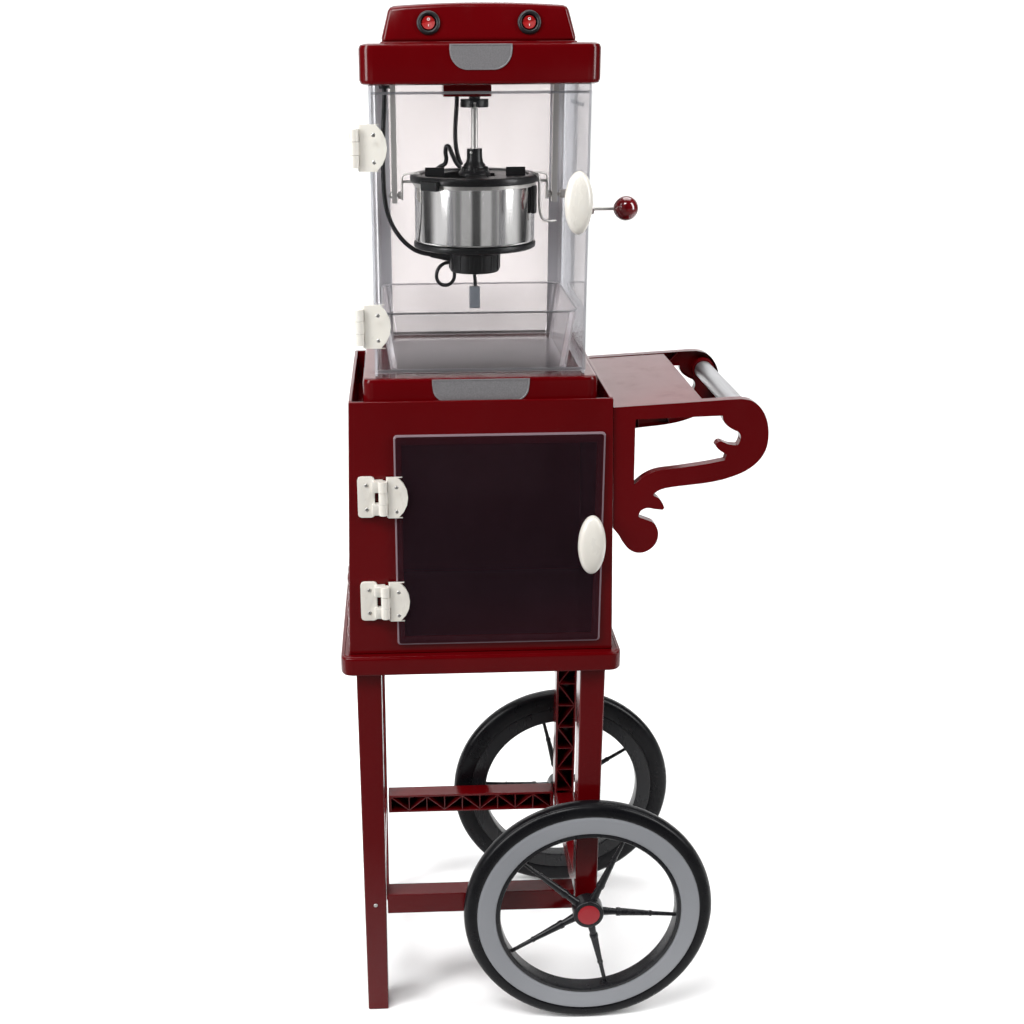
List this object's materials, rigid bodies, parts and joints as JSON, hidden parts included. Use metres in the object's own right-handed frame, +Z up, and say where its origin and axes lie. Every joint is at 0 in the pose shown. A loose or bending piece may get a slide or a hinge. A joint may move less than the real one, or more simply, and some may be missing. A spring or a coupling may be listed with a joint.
{
  "type": "popcorn maker",
  "caption": "Tabletop popcorn machine with a tilting kettle in a clear case, standing in the top recess of a red two-wheel cart with a cabinet, side shelf and push bar.",
  "frame": {"origin": "on the floor, under the centre of the whole object", "axes": "+Z up; +X to the right seen from the front, towards the side shelf; -Y is the front with the two doors"},
  "size_m": [0.4789, 0.3162, 1.1982],
  "materials": {
    "red_plastic": "gloss dark crimson moulded plastic",
    "black_plastic": "satin black moulded plastic",
    "rubber": "matt black",
    "ivory_plastic": "semi-gloss ivory moulded plastic",
    "clear_plastic": "clear polished acrylic",
    "smoked_plastic": "smoked transparent plastic",
    "white_panel": "satin off-white sheet",
    "polished_steel": "polished stainless steel",
    "satin_metal": "satin drawn aluminium",
    "grey_plastic": "matt grey"
  },
  "bodies": {
    "cart": {"leg_front_left": "red_plastic", "leg_front_right": "red_plastic", "leg_back_left": "red_plastic", "leg_back_right": "red_plastic", "brace_front": "red_plastic", "brace_back": "red_plastic", "brace_left": "red_plastic", "brace_right": "red_plastic", "cart_deck": "red_plastic", "axle": "polished_steel", "cabinet_body": "red_plastic", "cabinet_front": "red_plastic", "recess_floor": "red_plastic", "cabinet_leaf_upper": "ivory_plastic", "cabinet_leaf_lower": "ivory_plastic", "side_shelf": "red_plastic", "bracket_front": "red_plastic", "bracket_back": "red_plastic", "push_bar": "satin_metal"},
    "wheel_front_body": {"wheel_front": "black_plastic", "tyre_front": "rubber"},
    "wheel_back_body": {"wheel_back": "black_plastic", "tyre_back": "rubber"},
    "cabinet_door_body": {"cabinet_door": "smoked_plastic", "cabinet_knob": "ivory_plastic", "cabinet_door_leaf_upper": "ivory_plastic", "cabinet_door_leaf_lower": "ivory_plastic"},
    "machine": {"machine_base": "red_plastic", "canopy": "red_plastic", "canopy_floor": "red_plastic", "hood": "red_plastic", "stir_motor": "satin_metal", "support_arm_left": "satin_metal", "support_arm_right": "satin_metal", "glass_case": "clear_plastic", "back_panel": "white_panel", "case_leaf_upper": "ivory_plastic", "case_leaf_lower": "ivory_plastic", "popcorn_tray": "clear_plastic", "kettle_cord": "rubber"},
    "case_door_body": {"case_door": "clear_plastic", "case_knob": "ivory_plastic", "case_door_leaf_upper": "ivory_plastic", "case_door_leaf_lower": "ivory_plastic"},
    "rocker_left_body": {"rocker_left": "red_plastic"},
    "rocker_right_body": {"rocker_right": "red_plastic"},
    "drive": {"drive_coupling": "black_plastic"},
    "kettle": {"kettle_pot": "polished_steel", "kettle_base": "black_plastic", "heater_plate": "satin_metal", "kettle_yoke": "polished_steel", "lid_bridge": "black_plastic", "tilt_handle": "polished_steel", "handle_ball": "red_plastic", "kettle_lead": "rubber"},
    "stirrer_body": {"stirrer": "polished_steel"},
    "lid_flap_left_body": {"lid_flap_left": "black_plastic"},
    "lid_flap_right_body": {"lid_flap_right": "black_plastic"},
    "probe": {"probe_lead": "rubber", "probe_plug": "grey_plastic"}
  },
  "joints": [
    {"name": "wheel_front_spin", "type": "hinge", "parent": "cart", "child": "wheel_front_body", "pos_m": [0.0522, -0.14725, 0.1522], "axis": [0, 1, 0], "continuous": true},
    {"name": "wheel_back_spin", "type": "hinge", "parent": "cart", "child": "wheel_back_body", "pos_m": [0.0522, 0.14725, 0.1522], "axis": [0, 1, 0], "continuous": true},
    {"name": "cabinet_door_hinge", "type": "hinge", "parent": "cart", "child": "cabinet_door_body", "pos_m": [-0.1863, -0.1388, 0.6325], "axis": [0, 0, -1], "range_deg": [0, 150]},
    {"name": "machine_lift", "type": "slide", "parent": "cart", "child": "machine", "axis": [0, 0, 1], "range_m": [0, 0.06]},
    {"name": "case_door_hinge", "type": "hinge", "parent": "machine", "child": "case_door_body", "pos_m": [-0.2073, -0.1215, 0.9675], "axis": [0, 0, -1], "range_deg": [0, 150]},
    {"name": "rocker_left_tilt", "type": "hinge", "parent": "machine", "child": "rocker_left_body", "pos_m": [-0.1293, -0.08395, 1.1785], "axis": [1, 0, 0], "range_deg": [-14, 0]},
    {"name": "rocker_right_tilt", "type": "hinge", "parent": "machine", "child": "rocker_right_body", "pos_m": [-0.0263, -0.08395, 1.1785], "axis": [1, 0, 0], "range_deg": [-14, 0]},
    {"name": "drive_spin", "type": "hinge", "parent": "machine", "child": "drive", "pos_m": [-0.0778, 0, 1.0978], "axis": [0, 0, 1], "continuous": true},
    {"name": "kettle_tilt", "type": "hinge", "parent": "machine", "child": "kettle", "pos_m": [-0.0778, 0, 0.998], "axis": [1, 0, 0], "range_deg": [0, 75], "deforming": ["kettle_cord"]},
    {"name": "stirrer_spin", "type": "hinge", "parent": "kettle", "child": "stirrer_body", "pos_m": [-0.0778, 0, 1.02], "axis": [0, 0, 1], "continuous": true},
    {"name": "lid_flap_left_hinge", "type": "hinge", "parent": "kettle", "child": "lid_flap_left_body", "pos_m": [-0.0908, 0, 1.0195], "axis": [0, 1, 0], "range_deg": [0, 75]},
    {"name": "lid_flap_right_hinge", "type": "hinge", "parent": "kettle", "child": "lid_flap_right_body", "pos_m": [-0.0648, 0, 1.0195], "axis": [0, -1, 0], "range_deg": [0, 75]},
    {"name": "probe_swing", "type": "hinge", "parent": "kettle", "child": "probe", "pos_m": [-0.0778, 0, 0.9122], "axis": [1, 0, 0], "range_deg": [-75, 0], "deforming": ["probe_lead"]}
  ],
  "couplings": [
    {"joint": "stirrer_spin", "follows": "drive_spin", "ratio": 1},
    {"joint": "probe_swing", "follows": "kettle_tilt", "ratio": -1}
  ]
}
